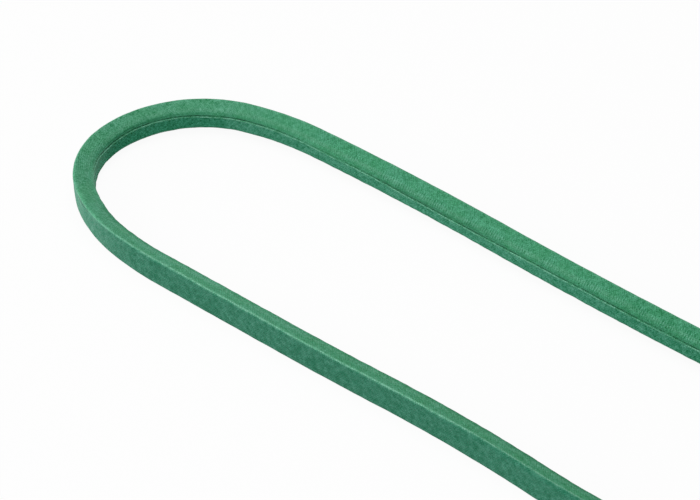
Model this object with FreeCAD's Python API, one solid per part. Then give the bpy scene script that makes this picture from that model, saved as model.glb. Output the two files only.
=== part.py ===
import FreeCAD, Part
import math
import os

# Endless wrapped V belt with aramid cords, relaxed, lying on its side on the plane z = 0.
# Millimetres and degrees. Built up like the real one: a rubber core round a cord winding,
# wrapped in two plies of rubberised fabric, all of it moulded into one endless band.
# The back face is the wide one, outside the loop. The runs lie along X and the origin is
# the centre of the loop, on the plane that it lies on.

INCH = 25.4

# Section
top_width = 0.5 * INCH            # across the back face, from sharp corner to sharp corner
belt_height = 8.1                 # from the back face to the narrow inner face
included_angle = 42.0             # between the flanks, a little wider than in a groove
ply_thickness = 0.35              # one ply of rubberised cover fabric
cover_plies = 2                   # wraps over the core
lap_plies = 1                     # extra thickness where a ply laps over itself
core_corner_radius = 0.2          # of the rubber core, under both plies

# Layers of the core, counted from the back
top_rubber_thickness = 1.1        # tension rubber
gum_cover = 0.45                  # cushion gum over and under the cords
cord_diameter = 0.9
cord_pitch = 1.05                 # from one place of the winding to the next
cord_side_cover = 0.12            # least rubber between the last cord and the cover

# Loop, measured along the back face
outside_length = 46 * INCH
# One run from bend to bend: each stretch is a share of the run, with the degrees that it
# turns. The loop lies slack, so its runs weave a little. The first stretch is straight.
run_stretches = ((0.155, 0.0), (0.12, 1.9), (0.18, -6.4), (0.05, 4.5), (0.26, -3.1), (0.235, 4.0))
# The bend at each end: five arcs, through a wide shoulder and a tight nose. The degrees are
# those of the first four, and the tail turns what the half loop still lacks.
bend_entry_radius = 120.0
bend_shoulder_radius = 53.0
bend_nose_radius = 41.0
bend_exit_radius = 74.0
bend_tail_radius = 150.0
bend_turns = (16.5, 66.5, 63.0, 23.6)

up = FreeCAD.Vector(0, 0, 1)
half_angle = math.radians(included_angle / 2)


def half_loop():
    """Lengths and turns (radians) of the stretches of one run and one bend.

    The other half of the loop is the same list over again, turned by half a circle.
    """
    radii = (bend_entry_radius, bend_shoulder_radius, bend_nose_radius, bend_exit_radius,
             bend_tail_radius)
    turns = [math.radians(turn) for turn in bend_turns]
    run_turns = [math.radians(turn) for _, turn in run_stretches]
    turns.append(math.pi - sum(turns) - sum(run_turns))
    bend_lengths = [radius * turn for radius, turn in zip(radii, turns)]
    run_length = outside_length / 2 - sum(bend_lengths)
    whole_share = sum(share for share, _ in run_stretches)
    run_lengths = [run_length * share / whole_share for share, _ in run_stretches]
    return list(zip(run_lengths, run_turns)) + list(zip(bend_lengths, turns))


def walk(stretches):
    """Start point and heading of each stretch, and of the end of the last one."""
    x, y, heading = 0.0, 0.0, 0.0
    stations = [(x, y, heading)]
    for length, turn in stretches:
        chord = length if turn == 0 else 2 * length / turn * math.sin(turn / 2)
        x += chord * math.cos(heading + turn / 2)
        y += chord * math.sin(heading + turn / 2)
        heading += turn
        stations.append((x, y, heading))
    return stations


def carried(shape, stretch, station):
    """A shape of the section, a wire or a face, carried along one stretch of the loop."""
    (length, turn), (x, y, heading) = stretch, station
    moved = shape.copy()
    moved.Placement = FreeCAD.Placement(
        FreeCAD.Vector(x, y, 0), FreeCAD.Rotation(up, math.degrees(heading)))
    if turn == 0:
        return moved.extrude(FreeCAD.Vector(length * math.cos(heading), length * math.sin(heading), 0))
    radius = length / turn
    centre = FreeCAD.Vector(x - radius * math.sin(heading), y + radius * math.cos(heading), 0)
    return moved.revolve(centre, up, math.degrees(turn))


def closed_solid(faces):
    """Sew faces that meet edge to edge into one solid that points outwards."""
    shell = Part.makeShell(faces)
    shell.sewShape()
    solid = Part.makeSolid(shell)
    if solid.Volume < 0:
        solid.reverse()
    return solid


def ring(wire):
    """Solid of a section outline carried right round the loop."""
    faces = []
    for stretch, station in zip(loop, stations):
        faces += carried(wire, stretch, station).Faces
    return closed_solid(faces)


def point(depth, height, along=0.0):
    """A point of the section: depth inwards from the back face, height from its sharp corner.

    The section is let down until its rounded lower corner lies on the plane.
    """
    return FreeCAD.Vector(along, depth, height - corner_lift)


def rounded_outline(corners):
    """Closed wire through corners (depth, height, radius), round where radius is not 0."""
    path = []
    for i, (depth, height, radius) in enumerate(corners):
        here = point(depth, height)
        if radius == 0:
            path.append((here, None, here))
            continue
        before = (point(*corners[i - 1][:2]) - here).normalize()
        after = (point(*corners[(i + 1) % len(corners)][:2]) - here).normalize()
        half = before.getAngle(after) / 2
        reach = radius / math.tan(half)
        middle = (before + after).normalize() * (radius / math.sin(half) - radius)
        path.append((here + before * reach, here + middle, here + after * reach))
    edges = []
    for i, (first, middle, last) in enumerate(path):
        if middle is not None:
            edges.append(Part.Arc(first, middle, last).toShape())
        edges.append(Part.LineSegment(last, path[(i + 1) % len(path)][0]).toShape())
    return Part.Wire(edges)


def flank_height(depth, plies):
    """Height of the lower flank at a depth, under a number of cover plies."""
    return depth * math.tan(half_angle) + plies * ply_thickness / math.cos(half_angle)


def slice_corners(start, end, plies, start_radius=0.0, end_radius=0.0):
    """Corners of the section between two depths, under a number of plies on the flanks."""
    low_start, low_end = flank_height(start, plies), flank_height(end, plies)
    return [(start, low_start, start_radius), (end, low_end, end_radius),
            (end, top_width - low_end, end_radius), (start, top_width - low_start, start_radius)]


def grooved_outline(plain_depth):
    """Outline of a cushion gum: plain at one depth, and at the cord line grooved for each cord."""
    low_plain, low_cord = flank_height(plain_depth, cover_plies), flank_height(cord_depth, cover_plies)
    floor_depth = cord_depth + math.copysign(cord_radius, plain_depth - cord_depth)
    last = point(cord_depth, low_cord)
    edges = [Part.LineSegment(point(plain_depth, low_plain), last).toShape()]
    for height in cord_heights:
        near, far = point(cord_depth, height - cord_radius), point(cord_depth, height + cord_radius)
        edges.append(Part.LineSegment(last, near).toShape())
        edges.append(Part.Arc(near, point(floor_depth, height), far).toShape())
        last = far
    for depth, height in ((cord_depth, top_width - low_cord),
                          (plain_depth, top_width - low_plain), (plain_depth, low_plain)):
        edges.append(Part.LineSegment(last, point(depth, height)).toShape())
        last = point(depth, height)
    return Part.Wire(edges)


def on_straight(shape):
    """Move a shape from the section's own place to the start of the straight stretch."""
    return shape.translated(FreeCAD.Vector(stations[0][0], stations[0][1], 0))


def cord_rim(height, along=0.0):
    """Wire round a cord at a height of the winding."""
    circle = Part.Circle(point(cord_depth, height, along), FreeCAD.Vector(1, 0, 0), cord_radius)
    return Part.Wire([circle.toShape()])


def cord_end(height, along=0.0):
    """Face across a cord at a height of the winding."""
    return Part.Face(cord_rim(height, along))


def crossover(height, shape_of):
    """The two arcs in which a cord climbs to its next place, along the straight stretch.

    shape_of gives what is carried: cord_rim for the surface, cord_end for a solid.
    """
    length, climb = loop[0][0], 2 * cord_pitch
    radius = (length ** 2 + climb ** 2) / (4 * climb)
    turn = math.degrees(math.asin(length / (2 * radius)))
    level = FreeCAD.Vector(0, -1, 0)
    first = shape_of(height).revolve(point(cord_depth, height + radius), level, turn)
    last = shape_of(height + climb, length).revolve(
        point(cord_depth, height + climb - radius, length), level, turn)
    return [on_straight(first), on_straight(last)]


def cord_solid(first_place):
    """One cord, wound round and round: level turns, joined by its crossovers.

    Two cords of opposite twist lie side by side, so each takes every other place.
    """
    heights = cord_heights[first_place::2]
    faces = [on_straight(cord_end(heights[0], loop[0][0])), on_straight(cord_end(heights[-1]))]
    for height in heights:
        for stretch, station in zip(loop[1:], stations[1:]):
            faces += carried(cord_rim(height), stretch, station).Faces
    for height in heights[:-1]:
        for arc in crossover(height, cord_rim):
            faces += arc.Faces
    return closed_solid(faces)


def cushion_solid(plain_depth):
    """Cushion gum on one side of the winding, moulded into the gaps between the cords."""
    outline = grooved_outline(plain_depth)
    faces = [on_straight(Part.Face(outline)),
             on_straight(Part.Face(outline).translated(FreeCAD.Vector(loop[0][0], 0, 0)))]
    for stretch, station in zip(loop[1:], stations[1:]):
        faces += carried(outline, stretch, station).Faces
    start, end = sorted((plain_depth, cord_depth))
    plain = Part.Face(rounded_outline(slice_corners(start, end, cover_plies)))
    block = carried(plain, loop[0], stations[0])
    for height in cord_heights[:-2]:
        for arc in crossover(height, cord_end):
            block = block.cut(arc)
    return closed_solid(faces).fuse(block)


# The loop, centred on the origin, and its stations
half = half_loop()
loop = half + half
end_of_half = walk(half)[-1]
stations = [(x - end_of_half[0] / 2, y - end_of_half[1] / 2, heading) for x, y, heading in walk(loop)]

# Depths of the layers. The outer ply laps over itself across the inner face and the inner
# ply across the back face, so each of those faces holds one thickness more.
core_start = (cover_plies + lap_plies) * ply_thickness
core_end = belt_height - core_start
cord_radius = cord_diameter / 2
gum_start = core_start + top_rubber_thickness
cord_depth = gum_start + gum_cover + cord_radius
gum_end = cord_depth + cord_radius + gum_cover
outer_corner_radius = core_corner_radius + cover_plies * ply_thickness
middle_corner_radius = outer_corner_radius - ply_thickness
corner_lift = outer_corner_radius * (math.tan(half_angle) + 1 / math.cos(half_angle) - 1)

# Places of the winding: an even number of them, centred in the core at the cord line
winding_width = top_width - 2 * (flank_height(cord_depth + cord_radius, cover_plies) + cord_side_cover)
cord_places = 2 * int(((winding_width - cord_diameter) / cord_pitch + 1) / 2)
lowest_cord = (top_width - (cord_places - 1) * cord_pitch) / 2
cord_heights = [lowest_cord + i * cord_pitch for i in range(cord_places)]

outside = rounded_outline(slice_corners(0, belt_height, 0, outer_corner_radius, outer_corner_radius))
between_plies = rounded_outline(slice_corners(
    ply_thickness, belt_height - (1 + lap_plies) * ply_thickness, 1,
    middle_corner_radius, middle_corner_radius))
under_plies = rounded_outline(slice_corners(
    core_start, core_end, cover_plies, core_corner_radius, core_corner_radius))
top_rubber = rounded_outline(slice_corners(core_start, gum_start, cover_plies, core_corner_radius, 0))
undercord = rounded_outline(slice_corners(gum_end, core_end, cover_plies, 0, core_corner_radius))

belt = {
    "outer_cover_ply": ring(outside).cut(ring(between_plies)),
    "inner_cover_ply": ring(between_plies).cut(ring(under_plies)),
    "top_rubber": ring(top_rubber),
    "upper_cushion_gum": cushion_solid(gum_start),
    "s_twist_tensile_cord": cord_solid(0),
    "z_twist_tensile_cord": cord_solid(1),
    "lower_cushion_gum": cushion_solid(gum_end),
    "compression_rubber": ring(undercord),
}

os.makedirs("parts", exist_ok=True)
for name, shape in belt.items():
    print(name, len(shape.Solids), "solid", round(shape.Volume, 1), "mm3", shape.isValid())
    shape.exportStep("parts/" + name + ".step")
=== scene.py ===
from types import SimpleNamespace

import bpy
import numpy as np
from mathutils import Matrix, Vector


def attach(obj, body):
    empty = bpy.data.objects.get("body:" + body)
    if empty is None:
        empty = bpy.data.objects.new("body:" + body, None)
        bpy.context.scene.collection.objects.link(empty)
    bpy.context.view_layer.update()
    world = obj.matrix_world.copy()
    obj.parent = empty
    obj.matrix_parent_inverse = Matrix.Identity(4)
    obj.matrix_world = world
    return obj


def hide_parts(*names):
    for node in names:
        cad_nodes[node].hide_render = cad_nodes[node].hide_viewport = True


# Endless wrapped V belt, green cover fabric over a black rubber core wound with aramid cord.
# Metres; the belt lies on its side on z = 0, and "across" is the distance round its section.
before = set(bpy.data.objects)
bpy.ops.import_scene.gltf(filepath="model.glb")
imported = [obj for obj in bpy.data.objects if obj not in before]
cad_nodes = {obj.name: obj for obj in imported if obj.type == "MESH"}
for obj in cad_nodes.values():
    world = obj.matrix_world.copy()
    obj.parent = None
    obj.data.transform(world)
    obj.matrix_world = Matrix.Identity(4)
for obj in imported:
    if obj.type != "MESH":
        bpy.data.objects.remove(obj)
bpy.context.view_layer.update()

# ---- Compression rubber ------------------------------------------------------------------
# The body of the V under the cords: chloroprene loaded with short fibres that lie across the
# belt, calendered in sheets and moulded to the V with the rest.
MM = 0.001


def add(tree, kind, inputs=None, **settings):
    """Adds a node: settings are its own fields, inputs its sockets, a value or an output each."""
    node = tree.nodes.new(kind)
    for field, value in settings.items():
        setattr(node, field, value)
    for key, value in (inputs or {}).items():
        if isinstance(value, bpy.types.NodeSocket):
            tree.links.new(value, node.inputs[key])
        else:
            node.inputs[key].default_value = value
    return node


def work(tree, operation, *terms):
    """One sum of a Math node, on values or outputs."""
    return add(tree, "ShaderNodeMath", dict(enumerate(terms)), operation=operation).outputs[0]


def blend_colour(tree, share, low, high, how="MIX"):
    """Colour between two, by a share from 0 to 1."""
    node = add(tree, "ShaderNodeMix", {0: share, 6: low, 7: high},
               data_type="RGBA", blend_type=how)
    return node.outputs[2]


def grade(tree, value, start, end):
    """Smooth step of a value: 0 at start, 1 at end, eased at both."""
    node = add(tree, "ShaderNodeMapRange",
               {"Value": value, "From Min": start, "From Max": end},
               interpolation_type="SMOOTHSTEP")
    return node.outputs[0]


def cloud(tree, where, size, detail=2.0, stretch=(1.0, 1.0, 1.0)):
    """Noise from 0 to 1, its patches about as wide as size, longer where stretch is above 1."""
    scaled = add(tree, "ShaderNodeVectorMath",
                 {0: where, 1: tuple(1 / (size * s) for s in stretch)}, operation="MULTIPLY")
    return add(tree, "ShaderNodeTexNoise",
               {"Vector": scaled.outputs[0], "Scale": 1.0, "Detail": detail}).outputs["Fac"]


def new_material(name):
    """Material, its tree and its shader: nothing but an output and one Principled shader."""
    material = bpy.data.materials.new(name)
    material.use_nodes = True
    tree = material.node_tree
    shader = tree.nodes["Principled BSDF"]
    return material, tree, shader


def new_group(name, inputs, outputs):
    """Node group with named sockets, each name given its kind: FLOAT, VECTOR or RGBA."""
    kinds = {"FLOAT": "NodeSocketFloat", "VECTOR": "NodeSocketVector", "RGBA": "NodeSocketColor"}
    group = bpy.data.node_groups.new(name, "ShaderNodeTree")
    for socket, kind in inputs.items():
        group.interface.new_socket(socket, in_out="INPUT", socket_type=kinds[kind])
    for socket, kind in outputs.items():
        group.interface.new_socket(socket, in_out="OUTPUT", socket_type=kinds[kind])
    return group, group.nodes.new("NodeGroupInput"), group.nodes.new("NodeGroupOutput")


def moulded_rubber_group():
    """Colour, roughness and height of rubber: fine grain, blooming patches and short fibres.

    Grain is noise half a millimetre wide, bloom is noise twenty times as wide, and a fibre
    shows where noise that is drawn out along Z passes a threshold.
    """
    group, into, out = new_group(
        "moulded rubber",
        {"Rubber": "RGBA", "Fibre": "RGBA", "Fibre share": "FLOAT"},
        {"Color": "RGBA", "Roughness": "FLOAT", "Height": "FLOAT"})
    where = add(group, "ShaderNodeTexCoord").outputs["Object"]
    grain = cloud(group, where, 0.5 * MM, 3.0)
    bloom = cloud(group, where, 10 * MM)
    strands = cloud(group, where, 0.25 * MM, 1.0, (1.0, 1.0, 9.0))
    threshold = work(group, "MULTIPLY_ADD", into.outputs["Fibre share"], -0.2, 0.82)
    fibre = grade(group, strands, threshold, work(group, "ADD", threshold, 0.05))
    dusty = blend_colour(group, work(group, "MULTIPLY", bloom, 0.35), into.outputs["Rubber"],
                         (0.09, 0.09, 0.092, 1.0))
    colour = blend_colour(group, fibre, dusty, into.outputs["Fibre"])
    rough = work(group, "MULTIPLY_ADD", grain, 0.2, 0.6)
    height = work(group, "ADD", grain, work(group, "MULTIPLY", fibre, 0.8))
    for socket, value in (("Color", colour), ("Roughness", rough), ("Height", height)):
        group.links.new(value, out.inputs[socket])
    return group


moulded_rubber = moulded_rubber_group()


def rubber_material(name, rubber, fibre, fibre_share):
    """Moulded rubber of one colour, with fibres of another."""
    material, tree, shader = new_material(name)
    mixed = add(tree, "ShaderNodeGroup", node_tree=moulded_rubber)
    mixed.inputs["Rubber"].default_value = rubber
    mixed.inputs["Fibre"].default_value = fibre
    mixed.inputs["Fibre share"].default_value = fibre_share
    bump = add(tree, "ShaderNodeBump", {"Height": mixed.outputs["Height"], "Strength": 0.4,
                                        "Distance": 0.05 * MM})
    tree.links.new(mixed.outputs["Color"], shader.inputs["Base Color"])
    tree.links.new(mixed.outputs["Roughness"], shader.inputs["Roughness"])
    tree.links.new(bump.outputs["Normal"], shader.inputs["Normal"])
    return material


def finish_node(node_name, material):
    """Gives a CAD node its finish."""
    slots = cad_nodes[node_name].data.materials
    slots.clear()
    slots.append(material)


finish_node("compression_rubber", rubber_material(
    "fibre loaded compression rubber", (0.018, 0.018, 0.020, 1.0), (0.30, 0.27, 0.20, 1.0), 0.9))

# ---- Cushion gums ------------------------------------------------------------------------
# Two soft layers of adhesion gum, under and over the cord winding, pressed into the gaps
# between the cords while the belt is cured. No fibres, browner and smoother than the body.
cushion_gum = rubber_material(
    "adhesion gum", (0.036, 0.030, 0.026, 1.0), (0.05, 0.045, 0.04, 1.0), 0.0)
finish_node("lower_cushion_gum", cushion_gum)
finish_node("upper_cushion_gum", cushion_gum)

# ---- Tensile cords -----------------------------------------------------------------------
# Two aramid cords of opposite twist, dipped in resin and wound side by side round the whole
# belt, so that their twists cancel. Each is a golden yarn of plied strands.
def cord_material(name, twist):
    """Plied yarn: slanted strands with dark gaps between them.

    The strand's phase is the distance along the belt plus twist times the height, over the
    lay. The distance along is X without its sign on the runs, and past them the angle about
    the bend's centre times the bend's radius is added.
    """
    lay, run_end, bend_radius = 1.9 * MM, 212 * MM, 45 * MM
    material, tree, shader = new_material(name)
    where = add(tree, "ShaderNodeTexCoord").outputs["Object"]
    place = add(tree, "ShaderNodeSeparateXYZ", {0: where}).outputs
    far_x = work(tree, "ABSOLUTE", place["X"])
    past = work(tree, "MAXIMUM", work(tree, "SUBTRACT", far_x, run_end), 0.0)
    sweep = work(tree, "ARCTAN2", past, work(tree, "ABSOLUTE", place["Y"]))
    along = work(tree, "ADD", work(tree, "MINIMUM", far_x, run_end),
                 work(tree, "MULTIPLY", sweep, bend_radius))
    turned = work(tree, "MULTIPLY_ADD", place["Z"], twist, along)
    phase = work(tree, "MULTIPLY", turned, 2 * np.pi / lay)
    crown = work(tree, "MULTIPLY_ADD", work(tree, "SINE", phase), 0.5, 0.5)
    haze = cloud(tree, where, 0.3 * MM, 3.0)
    yarn = blend_colour(tree, haze, (0.42, 0.29, 0.07, 1.0), (0.62, 0.47, 0.16, 1.0))
    colour = blend_colour(tree, grade(tree, crown, 0.05, 0.45), (0.05, 0.03, 0.015, 1.0), yarn)
    bump = add(tree, "ShaderNodeBump", {"Height": work(tree, "ADD", crown, work(
        tree, "MULTIPLY", haze, 0.3)), "Strength": 0.8, "Distance": 0.08 * MM})
    tree.links.new(colour, shader.inputs["Base Color"])
    tree.links.new(bump.outputs["Normal"], shader.inputs["Normal"])
    shader.inputs["Roughness"].default_value = 0.55
    return material


finish_node("s_twist_tensile_cord", cord_material("s twist aramid cord", 1.0))
finish_node("z_twist_tensile_cord", cord_material("z twist aramid cord", -1.0))

# ---- Tension rubber ----------------------------------------------------------------------
# The stretching layer over the cords, under the back of the belt: the same black rubber with
# only a few fibres in it.
finish_node("top_rubber", rubber_material(
    "tension rubber", (0.022, 0.022, 0.024, 1.0), (0.26, 0.24, 0.19, 1.0), 0.35))

# ---- Inner cover ply ---------------------------------------------------------------------
# Bias cut cotton and polyester fabric, its gaps filled with black rubber, wrapped round the
# core with its lap across the back. Only its green warp shows through the rubber.
def bias_fabric_group():
    """Height, crowns of one family and slubs of a bias cut plain weave, on a place in mm.

    Each family of threads is a cosine of a slanted phase, which grows by one over each pitch
    along and across. Threads pass over and under by turns: their crowns swap with the sign
    of both half phases. Slubs are noise on the two phases, drawn out along one family and
    then along the other.
    """
    group, into, out = new_group(
        "bias fabric",
        {"Place": "VECTOR", "Along pitch": "FLOAT", "Across pitch": "FLOAT", "Drift": "FLOAT"},
        {"Height": "FLOAT", "Leaning": "FLOAT", "Slub": "FLOAT"})
    place = add(group, "ShaderNodeSeparateXYZ", {0: into.outputs["Place"]}).outputs
    along = work(group, "DIVIDE", place["X"], into.outputs["Along pitch"])
    across = work(group, "DIVIDE", place["Y"], into.outputs["Across pitch"])
    phases, families = [], []
    for sign in (1.0, -1.0):
        phase = work(group, "ADD", work(group, "MULTIPLY_ADD", across, sign, along),
                     work(group, "MULTIPLY", into.outputs["Drift"], sign))
        swing = work(group, "COSINE", work(group, "MULTIPLY", phase, 2 * np.pi))
        crown = work(group, "MULTIPLY_ADD", swing, 0.5, 0.5)
        over = work(group, "SINE", work(group, "MULTIPLY", phase, np.pi))
        phases.append(phase)
        families.append((crown, over))
    turn = work(group, "MULTIPLY", families[0][1], families[1][1])
    swap = grade(group, turn, -0.25, 0.25)
    leaning = work(group, "MULTIPLY", families[0][0], swap)
    crossing = work(group, "MULTIPLY", families[1][0], work(group, "SUBTRACT", 1.0, swap))
    height = work(group, "ADD", leaning, crossing)
    on_phases = add(group, "ShaderNodeCombineXYZ", {"X": phases[0], "Y": phases[1]}).outputs[0]
    slub = work(group, "MULTIPLY", 0.5, work(
        group, "ADD", cloud(group, on_phases, 0.6, 2.0, (1.0, 7.0, 1.0)),
        cloud(group, on_phases, 0.6, 2.0, (7.0, 1.0, 1.0))))
    for socket, value in (("Height", height), ("Leaning", families[0][0]), ("Slub", slub)):
        group.links.new(value, out.inputs[socket])
    return group


bias_fabric = bias_fabric_group()


def inner_ply_material():
    """Green threads under a skin of black rubber: the weave lies on X plus Y, and on Z."""
    material, tree, shader = new_material("rubber filled cover fabric")
    where = add(tree, "ShaderNodeTexCoord").outputs["Object"]
    place = add(tree, "ShaderNodeSeparateXYZ", {0: where}).outputs
    along = work(tree, "ADD", place["X"], place["Y"])
    in_mm = add(tree, "ShaderNodeCombineXYZ", {
        "X": work(tree, "DIVIDE", along, MM), "Y": work(tree, "DIVIDE", place["Z"], MM)})
    cloth = add(tree, "ShaderNodeGroup", node_tree=bias_fabric)
    tree.links.new(in_mm.outputs[0], cloth.inputs["Place"])
    cloth.inputs["Along pitch"].default_value = 0.9
    cloth.inputs["Across pitch"].default_value = 1.3
    skin = cloud(tree, where, 3 * MM, 3.0)
    thread = grade(tree, cloth.outputs["Height"], 0.3, 0.9)
    shows = work(tree, "MULTIPLY", thread, grade(tree, skin, 0.3, 0.7))
    colour = blend_colour(tree, shows, (0.016, 0.022, 0.02, 1.0), (0.05, 0.17, 0.10, 1.0))
    bump = add(tree, "ShaderNodeBump", {"Height": cloth.outputs["Height"], "Strength": 0.5,
                                        "Distance": 0.08 * MM})
    tree.links.new(colour, shader.inputs["Base Color"])
    tree.links.new(work(tree, "MULTIPLY_ADD", thread, 0.25, 0.55), shader.inputs["Roughness"])
    tree.links.new(bump.outputs["Normal"], shader.inputs["Normal"])
    return material


finish_node("inner_cover_ply", inner_ply_material())

# ---- Outer cover ply ---------------------------------------------------------------------
# The wearing skin: green bias cut fabric, wrapped once round the belt with its lap across the
# inner face. The mould presses a bead into the back corners and a groove along the lap's edge.
INCH = 25.4 * MM
top_width = 0.5 * INCH
belt_height = 8.1 * MM
half_angle = np.radians(21.0)
ply = 0.35 * MM
corner_radius = 0.9 * MM
outside_length = 46 * INCH
# One run as (share of its length, turn in degrees), one bend as (radius, turn in degrees).
run_stretches = ((0.155, 0.0), (0.12, 1.9), (0.18, -6.4), (0.05, 4.5), (0.26, -3.1), (0.235, 4.0))
bend_arcs = ((120 * MM, 16.5), (53 * MM, 66.5), (41 * MM, 63.0), (74 * MM, 23.6))
bend_tail_radius = 150 * MM


def along_path(stretches, start, distance):
    """x, y and heading at distances along stretches of (length, turn), each straight or an arc.

    Within a stretch the heading grows evenly, so the chord to a point leaves at the middle
    heading and is the arc times sin(v) / v, v being half the angle turned up to there.
    """
    lengths, turns = np.array(stretches).T
    begins = np.concatenate(([0.0], np.cumsum(lengths)))
    headings = start[2] + np.concatenate(([0.0], np.cumsum(turns)))
    middle = headings[:-1] + turns / 2
    chords = lengths * np.sinc(turns / 2 / np.pi)
    xs = start[0] + np.concatenate(([0.0], np.cumsum(chords * np.cos(middle))))
    ys = start[1] + np.concatenate(([0.0], np.cumsum(chords * np.sin(middle))))
    index = np.clip(np.searchsorted(begins, distance, side="right") - 1, 0, len(lengths) - 1)
    gone = distance - begins[index]
    turned = gone * turns[index] / lengths[index]
    chord = gone * np.sinc(turned / 2 / np.pi)
    heading = headings[index] + turned / 2
    return (xs[index] + chord * np.cos(heading), ys[index] + chord * np.sin(heading),
            headings[index] + turned)


def half_loop():
    """(length, turn) of one run and one bend; the same list again closes the loop.

    An arc is as long as its radius times its turn. The bend's tail turns by what run and arcs
    leave of half a circle, and the run is what the bend leaves of half the outside length.
    """
    run_turns = [np.radians(turn) for _, turn in run_stretches]
    arcs = [(radius, np.radians(turn)) for radius, turn in bend_arcs]
    arcs.append((bend_tail_radius, np.pi - sum(turn for _, turn in arcs) - sum(run_turns)))
    bend = [(radius * turn, turn) for radius, turn in arcs]
    run_length = outside_length / 2 - sum(length for length, _ in bend)
    run = [(run_length * share, turn) for (share, _), turn in zip(run_stretches, run_turns)]
    return run + bend


loop = half_loop() * 2
half_end = along_path(loop, (0.0, 0.0, 0.0), np.array(outside_length / 2))
loop_start = (-half_end[0] / 2, -half_end[1] / 2, 0.0)
corner_lift = corner_radius * (np.tan(half_angle) + 1 / np.cos(half_angle) - 1)
middle_height = top_width / 2 - corner_lift


def half_section(start_depth, end_depth, inset, radius):
    """(length, turn) stretches of half a section, from the middle of its back to its inner face.

    inset is how far the flank lies under the belt's own, square to it, and the corners are
    round with a radius. Also gives the start of the walk, as depth, height and heading.
    """
    back = top_width / 2 - start_depth * np.tan(half_angle) - inset / np.cos(half_angle)
    face = top_width / 2 - end_depth * np.tan(half_angle) - inset / np.cos(half_angle)
    wide_turn, sharp_turn = np.pi / 2 - half_angle, np.pi / 2 + half_angle
    flank = (end_depth - start_depth) / np.cos(half_angle)
    cut_back, cut_face = radius * np.tan(sharp_turn / 2), radius * np.tan(wide_turn / 2)
    stretches = [(back - cut_back, 0.0), (radius * sharp_turn, -sharp_turn),
                 (flank - cut_back - cut_face, 0.0), (radius * wide_turn, -wide_turn),
                 (face - cut_face, 0.0)]
    return stretches, (start_depth, 0.0, np.pi / 2)


def carried_wall(stretches, start, travel, across, proud):
    """Grid of points: the section at across and proud of it, carried to travel along the loop.

    Signed across counts from the middle of the back, upwards where it is above 0. The point
    stands proud along the outward normal, which is the walk's heading turned left.
    """
    depth, height, heading = along_path(stretches, start, np.abs(across))
    side = np.sign(across)
    depth = depth - np.sin(heading) * proud
    height = middle_height + side * (height + np.cos(heading) * proud)
    x, y, course = along_path(loop, loop_start, travel % outside_length)
    return np.stack((x - np.sin(course) * depth, y + np.cos(course) * depth, height), axis=-1)


bend_window = 24 * MM
tightest_radius = min(radius for radius, _ in bend_arcs)


def bend_share(travel):
    """How tight the bend is round a place: the turn over a window's length, 1 at the tightest."""
    before, after = [
        along_path(loop, loop_start, (travel + way * bend_window / 2) % outside_length)[2]
        for way in (-1, 1)]
    turn = (after - before + np.pi) % (2 * np.pi) - np.pi
    return np.clip(turn / bend_window * tightest_radius, 0, 1)


def swell(travel, bumps):
    """Sum of swellings (place along, half length, size), each size * (1 - r^2)^2.

    r is the distance from the place, the shorter way round the loop, over the half length.
    """
    total = np.zeros_like(travel)
    for place, reach, size in bumps:
        away = (travel - place + outside_length / 2) % outside_length - outside_length / 2
        total += size * np.clip(1 - (away / reach) ** 2, 0, None) ** 2
    return total


def ripple(travel, across, waves):
    """Sum of sine waves (whole waves round the loop, slant, size).

    A phase grows by the whole waves round the loop, and by the slant in radians for each unit
    across, and starts at the number of its waves, so that no two of them line up.
    """
    total = np.zeros(np.broadcast(travel, across).shape)
    for count, slant, size in waves:
        total += size * np.sin(2 * np.pi * count * travel / outside_length + slant * across + count)
    return total


def bell(distance, width):
    """Bell curve, exp(-r^2): 1 at its middle and near 0 two widths away."""
    return np.exp(-(distance / width) ** 2)


def above_zero(distance):
    """The distance where it is above 0, else 0."""
    return np.clip(distance, 0, None)


outer_section, outer_start = half_section(0.0, belt_height, 0.0, corner_radius)
corner_places = np.cumsum([length for length, _ in outer_section])
back_corner = (corner_places[0] + corner_places[1]) / 2
face_corner = (corner_places[2] + corner_places[3]) / 2
face_middle = corner_places[-1]
usual_groove = face_corner - 0.07 * MM
usual_bead = back_corner + 0.22 * MM


def marks_along(unit, *rows):
    """Swellings, each from its place and half length along the belt in mm and its size.

    Places count from where the front run starts, and the size is a number of units.
    """
    return [(place * MM, reach * MM, size * unit) for place, reach, size in rows]


# How far the lap's edge and the back corner's bead stray towards the inner face, on the upper
# and on the lower side.
upper_lap_strays = marks_along(
    MM, (824, 36, 0.18), (866, 34, 0.58), (906, 46, 1.50), (931, 20, 0.28), (962, 38, 0.86),
    (996, 26, 0.27), (1022, 20, 0.46), (1078, 18, 0.65), (230, 60, 0.50), (330, 45, -0.15),
    (500, 50, 0.35), (640, 70, 0.60), (740, 40, 0.25))
lower_lap_strays = marks_along(
    MM, (70, 50, 0.80), (180, 60, 0.30), (390, 70, 0.60), (520, 50, -0.10), (660, 60, 0.90))
upper_bead_strays = marks_along(
    MM, (0, 34, 0.16), (48, 24, 0.12), (150, 22, 0.34), (190, 58, 0.85), (1120, 36, -0.68),
    (330, 60, 0.20), (450, 80, 0.45), (700, 60, 0.30), (890, 150, -0.50))
lower_bead_strays = marks_along(
    MM, (90, 60, 0.30), (260, 50, -0.10), (420, 70, 0.40), (610, 60, 0.20), (1060, 80, 0.35))
# Fine ripples of the same two edges.
groove_ripples = ((61, 1.7, 0.03 * MM), (97, 0.6, 0.03 * MM))
bead_ripples = ((53, 0.9, 0.03 * MM), (89, 2.1, 0.02 * MM))
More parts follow.
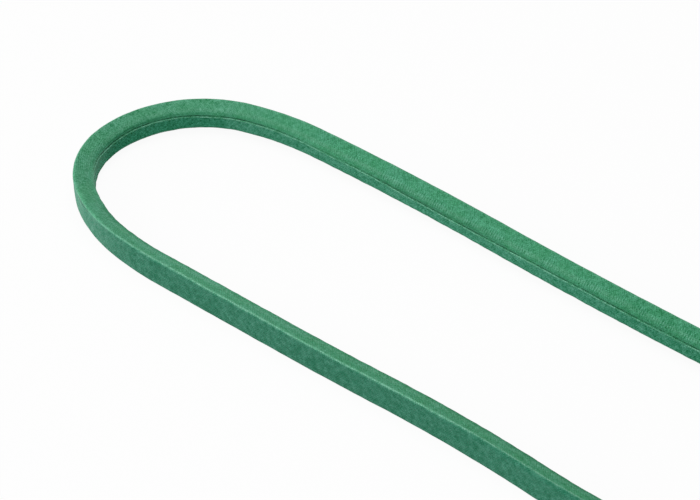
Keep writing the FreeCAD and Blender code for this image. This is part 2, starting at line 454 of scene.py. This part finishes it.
# How strongly the flank is pressed in beside the lap's edge: places that differ from the rest,
# and a second crease that runs beside the first one, nearer to the back.
usual_press = 0.70
press_changes = marks_along(
    1.0, (1064, 52, 0.58), (905, 50, 0.20), (965, 34, -0.40), (1108, 26, -0.75), (60, 140, -0.50),
    (300, 70, 0.30), (480, 60, -0.30), (690, 80, 0.35))
second_creases = marks_along(
    1.0, (1064, 40, 0.9), (885, 30, 0.3), (470, 50, 0.5), (270, 40, 0.4))
# Stretches of the flanks painted paler, or below 0 darker, as painted light and shade, where the
# inner face alone is painted paler, and where it and the back take a painted sheen.
flank_lighting_places = marks_along(
    1.0, (8, 80, 1.3), (165, 70, -0.35), (800, 52, -1.1), (1080, 26, 0.4), (420, 70, 0.7),
    (600, 60, -0.6))
inner_lighting_places = marks_along(1.0, (1008, 26, 1.5), (560, 40, 1.0), (300, 50, 0.8))
frayed_places = marks_along(1.0, (1106, 34, 1.0), (522, 34, 0.8), (690, 40, 0.3))
frayed_backs = marks_along(1.0, (1116, 18, 1.3), (532, 18, 1.3))
# Round the tight bends the slack band leans: on its lower side the back's edge is drawn in and
# the inner face's stands out, and past the bend the inner face's upper edge is drawn in.
back_leans = marks_along(MM, (1120, 46, -0.31), (536, 46, -0.31))
face_leans = marks_along(MM, (1088, 80, 0.42), (504, 80, 0.42))
upper_leans = marks_along(MM, (1144, 36, -0.24), (560, 36, -0.24))

# Points across half the section: back, bead, flank, then round the lap's edge, whose fold
# stands edge_gap past its groove.
back_points = np.array((0.0, 1.3, 2.6, 3.8, 4.6)) * MM
bead_points = np.array((-0.9, -0.65, -0.45, -0.3, -0.15, 0.0, 0.15, 0.3, 0.5, 0.75, 1.1)) * MM
flank_points = np.array((8.2, 9.2, 10.2, 11.0)) * MM
edge_points = np.array((-2.0, -1.6, -1.35, -1.15, -0.95, -0.7, -0.45, -0.25, -0.12, 0.0, 0.12,
                        0.24, 0.36, 0.48, 0.58, 0.70, 0.85, 1.1)) * MM
edge_gap = 0.53 * MM
station_count = 1080

# The relief: how deep or high each form is, and how wide its bell or ramp.
dish_depth = 0.10 * MM
hollow_depth, hollow_start, hollow_width = 0.20 * MM, 0.35 * MM, 1.1 * MM
hollow_end, hollow_end_width = 0.15 * MM, 0.3 * MM
crease_place, crease_width = 1.15 * MM, 0.22 * MM
groove_depth, groove_width = 0.17 * MM, 0.14 * MM
fold_height, fold_width = 0.12 * MM, 0.24 * MM
bared_depth, bared_width = 0.16 * MM, 0.9 * MM
bead_height, bead_width = 0.09 * MM, 0.32 * MM
widest_stray = 1.1 * MM
ply_left = 0.03 * MM
fold_ripples = ((149, 0.7, 0.35), (233, 1.9, 0.30), (371, 0.4, 0.20))
hand_ripples = ((83, 500.0, 0.016 * MM), (131, -700.0, 0.014 * MM), (47, 260.0, 0.02 * MM),
                (199, 900.0, 0.008 * MM))


def half_across(travel, side):
    """Places across of one side's points, of the lap's groove and of the back's bead.

    Groove and bead each run beside their corner, plus strays and ripples, and take their own
    points with them. The back's and the flank's points stay, and the last one lies halfway
    from the groove's points to the middle of the inner face.
    """
    groove = usual_groove + swell(travel, upper_lap_strays if side > 0 else lower_lap_strays)
    groove = groove + ripple(travel, side, groove_ripples)
    bead = usual_bead + swell(travel, upper_bead_strays if side > 0 else lower_bead_strays)
    bead = bead + ripple(travel, side, bead_ripples)
    rows = travel.shape[:1]
    tail = groove + edge_points[-1]
    across = np.concatenate((
        np.broadcast_to(back_points, rows + back_points.shape), bead + bead_points,
        np.broadcast_to(flank_points, rows + flank_points.shape), groove + edge_points,
        tail + (face_middle - tail) * 0.5), axis=1)
    return across, groove, bead


def pressed_hollow(travel, from_groove, pressed, strayed):
    """How far the flank is pressed in beside the lap's edge, 1 being the full depth.

    The press times a bell that falls off towards the back, wider where the edge has strayed,
    and times one that ends it at the groove; plus the second crease, a narrow bell.
    """
    width = (1 + 1.2 * strayed) * hollow_width
    hollow = pressed * bell(above_zero(-hollow_start - from_groove), width)
    hollow = hollow * (1 - 0.25 * strayed)
    hollow = hollow * bell(above_zero(from_groove + hollow_end), hollow_end_width)
    return hollow + swell(travel, second_creases) * bell(
        from_groove + crease_place, crease_width)


def outer_grid(travel, side):
    """Across, proud, distances from the lap's fold and the back's bead, and hollow, on one side.

    Proud is a sum: less the flank's dish (sine squared across it, none in the tight bends), the
    hollow and the groove (a bell), plus the rippled fold (a bell), less the bared corner where
    the lap has strayed from it, plus the back's bead (a bell), the leans, which grow evenly
    from one edge to the next, and the ripples of the hand. It leaves ply_left of the ply.
    """
    across, groove, bead = half_across(travel, side)
    from_groove, from_bead = across - groove, across - bead
    strayed = np.clip((groove - face_corner) / widest_stray, 0, 1)
    pressed = usual_press + swell(travel, press_changes)
    hollow = pressed_hollow(travel, from_groove, pressed, strayed)
    creased = np.clip(0.3 + pressed, 0, 1) * (1 - 0.5 * strayed)
    flank = np.clip((across - corner_places[1]) / (corner_places[2] - corner_places[1]), 0, 1)
    fold = 1 + ripple(travel, side, fold_ripples)
    proud = -dish_depth * (1 - bend_share(travel)) * np.sin(np.pi * flank) ** 2
    proud = proud - hollow_depth * hollow
    proud = proud - groove_depth * creased * bell(from_groove, groove_width)
    proud = proud + fold_height * fold * bell(from_groove - edge_gap, fold_width)
    proud = proud - bared_depth * strayed * bell(across - face_corner, bared_width)
    proud = proud + bead_height * bell(from_bead, bead_width)
    if side < 0:
        proud = proud + swell(travel, back_leans) * np.interp(
            across, (0.0, back_corner, face_corner), (0.0, 1.0, 0.0))
    proud = proud + swell(travel, face_leans if side < 0 else upper_leans) * np.interp(
        across, (back_corner, face_corner, face_middle), (0.0, 1.0, 0.0))
    proud = proud + ripple(travel, side * across, hand_ripples)
    return (side * across, np.maximum(proud, ply_left - ply), from_groove - edge_gap, from_bead,
            hollow)


def closed_band(wall):
    """Quads of a grid that closes on itself both ways: corner indices, one row for each face."""
    rows, columns = wall.shape[:2]
    index = np.arange(rows * columns).reshape(rows, columns)
    right, down = np.roll(index, -1, axis=1), np.roll(index, -1, axis=0)
    return np.stack((index, down, np.roll(right, -1, axis=0), right), axis=-1).reshape(-1, 4)


def ring_mesh(name, walls, uvs, point_values):
    """One mesh of closed walls: their points, quads, a UV map in mm and named point values."""
    counts = [wall.shape[0] * wall.shape[1] for wall in walls]
    firsts = np.concatenate(([0], np.cumsum(counts)))
    points = np.concatenate([wall.reshape(-1, 3) for wall in walls])
    quads = np.concatenate([closed_band(wall) + first for wall, first in zip(walls, firsts)])
    mesh = bpy.data.meshes.new(name)
    mesh.vertices.add(len(points))
    mesh.vertices.foreach_set("co", points.astype(np.float32).ravel())
    mesh.loops.add(quads.size)
    mesh.loops.foreach_set("vertex_index", quads.ravel().astype(np.int32))
    mesh.polygons.add(len(quads))
    mesh.polygons.foreach_set("loop_start", np.arange(0, quads.size, 4, dtype=np.int32))
    mesh.update(calc_edges=True)
    mesh.validate()
    mesh.uv_layers.new(name="along and across").uv.foreach_set(
        "vector", np.concatenate(uvs).astype(np.float32).ravel())
    for label, values in point_values.items():
        mesh.attributes.new(label, "FLOAT", "POINT").data.foreach_set(
            "value", np.concatenate([value.ravel() for value in values]).astype(np.float32))
    mesh.polygons.foreach_set("use_smooth", np.ones(len(quads), dtype=bool))
    return mesh


def corner_uv(travel, across, once_round):
    """UV in mm of each quad's four corners; the last row and column run on past the start."""
    columns = np.concatenate((across, across[:, :1] + once_round), axis=1)
    columns = np.concatenate((columns, columns[:1])) / MM
    rows = np.concatenate((travel, travel[:1] + outside_length)) / MM
    grid = np.stack((np.broadcast_to(rows, columns.shape), columns), axis=-1)
    return np.stack((grid[:-1, :-1], grid[1:, :-1], grid[1:, 1:], grid[:-1, 1:]),
                    axis=2).reshape(-1, 2)


# The first station lies half the loop on, where the far run begins. Round the section the grid
# goes in one sense: from the inner face's middle, where the cover is plain, over the lower flank
# and the back to the upper flank. The middle of the back belongs to the upper half alone.
stations = (0.5 + np.arange(station_count) / station_count)[:, None] * outside_length
at_middle = (-face_middle, 0.0, 2 * MM, 9 * MM, 0.0)
across, proud, from_lap, from_bead, hollow = [
    np.concatenate((np.full((station_count, 1), plain), below[:, :0:-1], above), axis=1)
    for plain, below, above in zip(
        at_middle, outer_grid(stations, -1.0), outer_grid(stations, 1.0))]
outer_wall = carried_wall(outer_section, outer_start, stations, across, proud)

# What the finish follows besides: how tight the bend is, the painted light and the painted sheen.
sheen_fade = 1.5 * MM
stretched = np.broadcast_to(bend_share(stations), hollow.shape)
handled = swell(stations, flank_lighting_places) + (from_lap > 0) * swell(stations, inner_lighting_places)
frayed = swell(stations, frayed_places) * np.clip(1.5 + from_lap / sheen_fade, 0, 1)
frayed = frayed + swell(stations, frayed_backs) * np.clip(
    -from_bead / (0.4 * MM), 0, 1) * np.exp(np.minimum(from_bead, 0) / sheen_fade)

# The wall that lies on the inner ply, walked the other way round so that it faces that ply. It
# is plain, so its points lie round the corners alone, six on the back's and five on the inner.
inside_clearance = 0.01 * MM
inside_depth = ply - inside_clearance
inside_section, inside_start = half_section(
    inside_depth, belt_height - ply - inside_depth, inside_depth, corner_radius - inside_depth)
inside_ends = np.cumsum([length for length, _ in inside_section])
inside_half = np.concatenate((np.linspace(inside_ends[0], inside_ends[1], 6),
                              np.linspace(inside_ends[2], inside_ends[3], 5)))
inside_row = np.concatenate(((inside_ends[4],), inside_half[::-1], (0.0,), -inside_half))
inside_stations = stations[::2]
inside_across = np.broadcast_to(inside_row, (len(inside_stations), len(inside_row)))
inside_wall = carried_wall(inside_section, inside_start, inside_stations, inside_across, 0.0)

unmarked = np.zeros(inside_across.shape)
far_off = unmarked + 9.0
cover_marks = {
    "lap edge": (from_lap / MM, far_off), "back bead": (from_bead / MM, far_off),
    "hollow": (hollow, unmarked), "stretched": (stretched, unmarked),
    "handled": (handled, unmarked), "frayed": (frayed, unmarked)}
cover_mesh = ring_mesh(
    "outer_cover", (outer_wall, inside_wall),
    (corner_uv(stations, across, 2 * face_middle),
     corner_uv(inside_stations, inside_across, -2 * inside_ends[4])), cover_marks)
outer_cover = bpy.data.objects.new("outer_cover", cover_mesh)
bpy.context.scene.collection.objects.link(outer_cover)


def tint(red, green, blue):
    """Linear colour of one written as 8-bit display values."""
    parts = np.array((red, green, blue)) / 255
    linear = np.where(parts > 0.04045, ((parts + 0.055) / 1.055) ** 2.4, parts / 12.92)
    return (*linear.tolist(), 1.0)


def laid_over(tree, colour, where, strength, tone):
    """Colour with a tone laid over it, where says and as strongly as strength says."""
    return blend_colour(tree, work(tree, "MULTIPLY", where, strength), colour, tone)


def fade(tree, value, start, end):
    """Smooth step down: 1 at start, 0 at end."""
    return work(tree, "SUBTRACT", 1.0, grade(tree, value, start, end))


def stripe(tree, value, rise, fall):
    """1 between two eased edges, each (start, end), and 0 outside them."""
    return work(tree, "MULTIPLY", grade(tree, value, *rise), fade(tree, value, *fall))


# Whole numbers of threads, ribs and creases fit the loop, and of threads the section's girth,
# so that the cloth meets itself. A crease leans by crease_slant turns for each mm across.
threads_along, threads_across = 1140, 26
rib_count = 1084
crease_count, crease_slant = 206, -1.17
# The ribs' slant and strength swing once round the loop, from this many radians on.
wave_start = -5.72


def read_cover(tree):
    """What the finish follows: place, the mesh's marks, the faces, the cloth and the clouds."""
    cover = SimpleNamespace()
    cover.where = add(tree, "ShaderNodeTexCoord").outputs["Object"]
    cover.place = add(tree, "ShaderNodeUVMap", uv_map="along and across").outputs["UV"]
    cover.lap, cover.bead, cover.hollow, cover.stretched, cover.handled, cover.frayed = [
        add(tree, "ShaderNodeAttribute", attribute_name=mark).outputs["Fac"]
        for mark in cover_marks]
    cover.pulled = grade(tree, cover.stretched, 0.15, 0.8)
    cover.on_flank = grade(tree, cover.bead, -0.35, 0.15)
    cover.past_lap = grade(tree, cover.lap, -0.1, 0.3)
    cover.speckle = cloud(tree, cover.where, 1.0 * MM, 3.0)
    cover.blotch = cloud(tree, cover.where, 1.8 * MM, 3.0)
    cover.broad = cloud(tree, cover.where, 3.6 * MM, 1.0)
    cover.drift = cloud(tree, cover.where, 9 * MM, 3.0)
    cloth = add(tree, "ShaderNodeGroup", {
        "Place": cover.place, "Along pitch": outside_length / MM / threads_along,
        "Across pitch": 2 * face_middle / MM / threads_across,
        "Drift": work(tree, "MULTIPLY", cloud(tree, cover.where, 5 * MM), 0.8)},
        node_tree=bias_fabric)
    cover.cloth = cloth.outputs
    return cover


def dye_with_painted_light(tree, cover):
    """Green of the dye: each face of the belt has its own tone, and all of it is cloudy. Round the
    bends the back and the flank's outer half are painted paler, as painted highlights, and the
    inner face is painted darker, as painted shade.
    """
    in_blotches = grade(tree, cover.blotch, 0.3, 0.7)
    in_drifts = grade(tree, cover.drift, 0.3, 0.7)
    back = blend_colour(tree, in_blotches, tint(45, 119, 91), tint(57, 131, 104))
    # Painted highlight and sheen: round the bends the back is painted paler, where it turns to the
    # light from the left.
    back = laid_over(tree, back, cover.pulled, 0.27, tint(120, 184, 158))
    flank = blend_colour(tree, in_drifts, tint(63, 145, 103), tint(71, 149, 113))
    # Painted highlight: round the bends the flank's outer half is painted paler.
    painted_flank_light = work(tree, "MULTIPLY", cover.pulled, fade(tree, cover.bead, 3.6, 5.8))
    flank = laid_over(tree, flank, painted_flank_light, 0.08, tint(140, 205, 170))
    inner = blend_colour(tree, in_blotches, tint(55, 136, 104), tint(64, 143, 111))
    # Painted shade: round the tightest bends the inner face, turned away from the light, is painted
    # darker.
    inner = blend_colour(
        tree, grade(tree, cover.stretched, 0.58, 0.85), inner, tint(38, 127, 92))
    outside = blend_colour(tree, cover.on_flank, back, flank)
    return blend_colour(tree, cover.past_lap, outside, inner)


def shade_and_highlight_painted(tree, cover, dye):
    """Dye with a painted highlight on the shoulder above the lap's dip, and paler beside the back's
    bead.

    Painted shade lies in the dip, mottled by streaks along the belt, and in the groove.
    """
    # Painted highlight: the shoulder above the lap's dip is painted paler.
    shoulder = stripe(tree, cover.lap, (-5.0, -3.4), (-2.9, -1.9))
    colour = laid_over(tree, dye, shoulder, 0.10, tint(140, 185, 165))
    streaks = cloud(tree, cover.place, 0.5, 2.0, (9.0, 1.0, 1.0))
    mottled = work(tree, "MULTIPLY", work(tree, "ADD", cover.speckle, streaks), 0.5)
    # Painted shade: the dip is painted darker, mottled by speckles and streaks.
    dip = work(tree, "MULTIPLY", cover.hollow, work(tree, "MULTIPLY_ADD", mottled, 3.0, -0.6))
    colour = laid_over(tree, colour, dip, 0.62, tint(27, 98, 67))
    # Painted shade: the lap's groove is painted darker, more in blotches and round the bends.
    groove = work(tree, "MULTIPLY", stripe(tree, cover.lap, (-0.9, -0.55), (-0.42, -0.18)),
                  grade(tree, cover.hollow, 0.0, 0.6))
    groove_shade_strength = work(tree, "MULTIPLY_ADD", grade(tree, cover.blotch, 0.34, 0.56), 0.95,
                 work(tree, "MULTIPLY_ADD", cover.pulled, 0.2, 0.05))
    colour = laid_over(tree, colour, groove, groove_shade_strength, tint(5, 62, 41))
    halo = work(tree, "MULTIPLY", stripe(tree, cover.bead, (-0.9, -0.2), (0.2, 1.4)),
                work(tree, "MULTIPLY_ADD", cover.pulled, -0.9, 1.0))
    return laid_over(tree, colour, halo, 0.22, tint(130, 200, 165))


def flank_ribs(tree, cover):
    """Ribs of the wrap on the flank beside the lap, from -1 to 1: a sine of slanted turns.

    The turns are those along the belt, plus the slant times across, plus a slow drift. Slant
    and strength swing once round the loop, and the ribs fade in the bends.
    """
    spot = add(tree, "ShaderNodeSeparateXYZ", {0: cover.place}).outputs
    wave = work(tree, "SINE", work(
        tree, "MULTIPLY_ADD", spot["X"], 2 * np.pi * MM / outside_length, wave_start))
    wander = work(tree, "MULTIPLY", cloud(tree, cover.where, 70 * MM, 0.0), 4.0)
    slant = work(tree, "MULTIPLY_ADD", wave, 0.18, 0.30)
    turns = work(tree, "MULTIPLY_ADD", spot["X"], rib_count * MM / outside_length,
                 work(tree, "MULTIPLY_ADD", spot["Y"], slant, wander))
    ribs = work(tree, "SINE", work(tree, "MULTIPLY", turns, 2 * np.pi))
    straight = work(tree, "MULTIPLY_ADD", grade(tree, cover.stretched, 0.08, 0.25), -0.8, 1.0)
    for share in (work(tree, "MULTIPLY_ADD", wave, -0.38, 0.65),
                  stripe(tree, cover.lap, (-6.5, -4.5), (-2.6, -1.4)), straight,
                  grade(tree, cover.drift, 0.4, 0.55)):
        ribs = work(tree, "MULTIPLY", ribs, share)
    return ribs


def bend_creases(tree, cover):
    """Fine slanted creases of the flank round the tightest bends: a sine of turns, -1 to 1."""
    spot = add(tree, "ShaderNodeSeparateXYZ", {0: cover.place}).outputs
    turns = work(tree, "MULTIPLY_ADD", spot["X"], crease_count * MM / outside_length,
                 work(tree, "MULTIPLY", spot["Y"], crease_slant))
    creases = work(tree, "SINE", work(tree, "MULTIPLY", turns, 2 * np.pi))
    lined = work(tree, "MULTIPLY", work(tree, "SUBTRACT", cover.on_flank, cover.past_lap),
                 grade(tree, cover.stretched, 0.85, 1.0))
    return work(tree, "MULTIPLY", creases, lined)


def thread_light(tree, cover):
    """How light the threads are, 1 being the dye's own: a sum of what pales or darkens them.

    Crowns are paler than the gaps, slubs and specks paler or darker than both. The grain is
    stronger past the lap and in the tightest bends, and softer on the back.
    """
    tightest = work(tree, "MULTIPLY", grade(tree, cover.stretched, 0.6, 0.85), cover.on_flank)
    grain = work(tree, "SUBTRACT", cloud(tree, cover.place, 0.5, 2.0, (2.0, 1.0, 1.0)), 0.5)
    graining = work(tree, "MULTIPLY_ADD", tightest, 1.6, work(
        tree, "MULTIPLY", cover.past_lap, work(tree, "MULTIPLY_ADD", cover.pulled, 0.5, 1.3)))
    stained = work(tree, "SUBTRACT", work(tree, "ADD", cover.speckle, cover.blotch), 1.0)
    softened = work(tree, "MULTIPLY_ADD", cover.blotch, 0.70,
                    work(tree, "MULTIPLY_ADD", cover.speckle, -0.65, -0.025))
    light = -0.80
    for value, gain in (
            (cover.cloth["Height"], 0.30), (cover.broad, 0.50), (cover.cloth["Slub"], 1.45),
            (cover.speckle, 1.35), (flank_ribs(tree, cover), 0.24),
            # Painted light: stretches of the flank and inner face painted paler or darker.
            (work(tree, "MULTIPLY", cover.handled, cover.on_flank), 0.11),
            (work(tree, "MULTIPLY", stained, cover.past_lap), 0.35), (grain, graining),
            (softened, work(tree, "SUBTRACT", 1.0, cover.on_flank)),
            (bend_creases(tree, cover), 0.12)):
        light = work(tree, "MULTIPLY_ADD", value, gain, light)
    return light


def woven(tree, cover, colour):
    """Colour times the light of its threads, each of red, green and blue with its own gain.

    A pale thread gains more red than green, so it turns greyer, and a dark one loses more of
    it, so it is a deeper green.
    """
    swing = work(tree, "MULTIPLY", work(tree, "SUBTRACT", thread_light(tree, cover), 1.0),
                 work(tree, "MULTIPLY_ADD", cover.on_flank, 0.30, 0.78))
    redder = work(tree, "MULTIPLY_ADD", cover.past_lap, 0.4,
                  work(tree, "MULTIPLY_ADD", cover.on_flank, -0.9, 2.3))
    gains = [work(tree, "MULTIPLY_ADD", swing, gain, 1.0) for gain in (redder, 0.68, 1.0)]
    toned = add(tree, "ShaderNodeCombineColor", dict(enumerate(gains))).outputs[0]
    return blend_colour(tree, 1.0, colour, toned, "MULTIPLY")


def worn_folds_sheen_and_shadow(tree, cover, colour):
    """Colour with both folds worn to pale threads, in stretches and most on the crowns.

    A painted sheen pales places round the bends, and a painted contact shadow darkens the lap's
    edge on the belt's lower half.
    """
    # Painted sheen: pale where the cloth turns away round the bends.
    colour = laid_over(tree, colour, cover.frayed, 0.2, tint(150, 205, 178))
    stretches = grade(tree, cloud(tree, cover.where, 2.4 * MM, 3.0), 0.42, 0.57)
    crowns = work(tree, "MULTIPLY_ADD", cover.cloth["Leaning"], 0.5, 0.5)
    jitter = work(tree, "SUBTRACT", cover.speckle, 0.5)
    for distance, reach, strength, least, eased in (
            (cover.lap, 0.34, 0.56, 0.13, 0.1), (cover.bead, 0.42, 0.42, 0.22, 0.6)):
        off = work(tree, "ABSOLUTE", work(tree, "MULTIPLY_ADD", jitter, 0.5, distance))
        share = work(tree, "MULTIPLY", fade(tree, off, 0.08, reach), crowns)
        share = work(tree, "MULTIPLY", share,
                     work(tree, "MULTIPLY_ADD", stretches, strength, least))
        spared = work(tree, "MULTIPLY_ADD", cover.pulled, -eased, 1.0)
        colour = laid_over(tree, colour, share, spared, tint(143, 206, 180))
    height = add(tree, "ShaderNodeSeparateXYZ", {0: cover.where}).outputs["Z"]
    # Painted shadow: next to the floor, the lap's edge on the belt's lower half is painted dark as
    # a contact shadow.
    under = work(tree, "MULTIPLY", fade(tree, height, 3.6 * MM, 4.4 * MM),
                 fade(tree, work(tree, "ABSOLUTE", cover.lap), 0.25, 0.6))
    return laid_over(tree, colour, under, 0.4, tint(24, 88, 64))


def cover_material():
    """Green bias fabric, dry and a little dusty, worn pale where its folds stand proud, with
    painted highlights, sheen and shade.
    """
    material, tree, shader = new_material("green cover fabric")
    cover = read_cover(tree)
    colour = woven(tree, cover, shade_and_highlight_painted(tree, cover, dye_with_painted_light(tree, cover)))
    rough = work(tree, "MULTIPLY_ADD", cover.cloth["Height"], 0.15, 0.55)
    rough = work(tree, "MULTIPLY_ADD", work(tree, "MULTIPLY", cover.past_lap, cover.pulled),
                 0.08, rough)
    height = work(tree, "MULTIPLY_ADD", cloud(tree, cover.where, 0.3 * MM, 3.0), 0.6,
                  cover.cloth["Height"])
    height = work(tree, "MULTIPLY_ADD", cover.cloth["Slub"], 1.2, height)
    bump = add(tree, "ShaderNodeBump", {"Height": height, "Strength": 0.8, "Distance": 0.10 * MM})
    tree.links.new(worn_folds_sheen_and_shadow(tree, cover, colour), shader.inputs["Base Color"])
    tree.links.new(rough, shader.inputs["Roughness"])
    tree.links.new(bump.outputs["Normal"], shader.inputs["Normal"])
    shader.inputs["Specular IOR Level"].default_value = 0.12
    shader.inputs["Sheen Weight"].default_value = 0.05
    shader.inputs["Sheen Roughness"].default_value = 0.5
    shader.inputs["Sheen Tint"].default_value = tint(200, 235, 215)
    return material


cover_mesh.materials.append(cover_material())
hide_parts("outer_cover_ply")
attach(outer_cover, "root")

# ---- Floor, light and camera -------------------------------------------------------------
# A plain white floor, which keeps the belt's soft shadow, in white surroundings, three broad
# lamps, and the camera, which looks down on the belt's left end from over its front right.
def seen_share(tree):
    """1 for what shows to the camera, by itself, in gloss or through glass, else 0."""
    ray = add(tree, "ShaderNodeLightPath").outputs
    mirrored = work(tree, "ADD", ray["Is Camera Ray"], ray["Is Glossy Ray"])
    return work(tree, "MINIMUM", work(tree, "ADD", mirrored, ray["Is Transmission Ray"]), 1.0)


def floor_material():
    """White, lit by the lamps, with a share of its own white in what the camera sees."""
    own_white = 0.94
    material, tree, shader = new_material("white floor")
    shader.inputs["Base Color"].default_value = (0.85, 0.85, 0.85, 1.0)
    shader.inputs["Roughness"].default_value = 0.9
    glow = add(tree, "ShaderNodeEmission", {"Color": (1.0, 1.0, 1.0, 1.0), "Strength": 1.0})
    mix = add(tree, "ShaderNodeMixShader", {
        0: work(tree, "MULTIPLY", seen_share(tree), own_white),
        1: shader.outputs[0], 2: glow.outputs[0]})
    tree.links.new(mix.outputs[0], tree.nodes["Material Output"].inputs["Surface"])
    return material


floor_reach, floor_height = 3.0, -0.15 * MM
floor_mesh = bpy.data.meshes.new("floor")
floor_corners = [(x, y, floor_height) for x, y in (
    (-floor_reach, -floor_reach), (floor_reach, -floor_reach),
    (floor_reach, floor_reach), (-floor_reach, floor_reach))]
floor_mesh.from_pydata(floor_corners, [], [(0, 1, 2, 3)])
floor_mesh.materials.append(floor_material())
floor = bpy.data.objects.new("floor", floor_mesh)
bpy.context.scene.collection.objects.link(floor)

world = bpy.data.worlds.new("studio")
bpy.context.scene.world = world
world.use_nodes = True
sky = world.node_tree
sky.nodes["Background"].inputs["Color"].default_value = (1.0, 1.0, 1.0, 1.0)
ambient = 0.30
sky.links.new(work(sky, "MULTIPLY_ADD", seen_share(sky), 1.0 - ambient, ambient),
              sky.nodes["Background"].inputs["Strength"])


def soft_lamp(name, place, aim, size, power):
    """Square area lamp at a place, turned to a point."""
    data = bpy.data.lights.new(name, "AREA")
    data.size, data.energy = size, power
    lamp = bpy.data.objects.new(name, data)
    bpy.context.scene.collection.objects.link(lamp)
    lamp.location = place
    lamp.rotation_euler = (Vector(place) - Vector(aim)).to_track_quat("Z", "Y").to_euler()


soft_lamp("overhead", place=(-0.18, 0.05, 0.9), aim=(-0.18, 0.05, 0.0), size=0.7, power=4.3)
soft_lamp("left", place=(-1.4, -0.4, 0.3), aim=(-0.1, 0.0, 0.0), size=0.6, power=8.0)
soft_lamp("front", place=(-0.2, -1.3, 0.6), aim=(-0.1, 0.0, 0.0), size=0.6, power=4.4)

camera_data = bpy.data.cameras.new("camera")
camera_data.sensor_width = 36.0
camera_data.lens = 128.26
camera = bpy.data.objects.new("camera", camera_data)
bpy.context.scene.collection.objects.link(camera)
camera.location = (0.3076, -0.5534, 0.6313)
camera.rotation_euler = (np.radians(49.05), 0.0, np.radians(38.785))
bpy.context.scene.camera = camera
bpy.context.scene.view_settings.view_transform = "Standard"
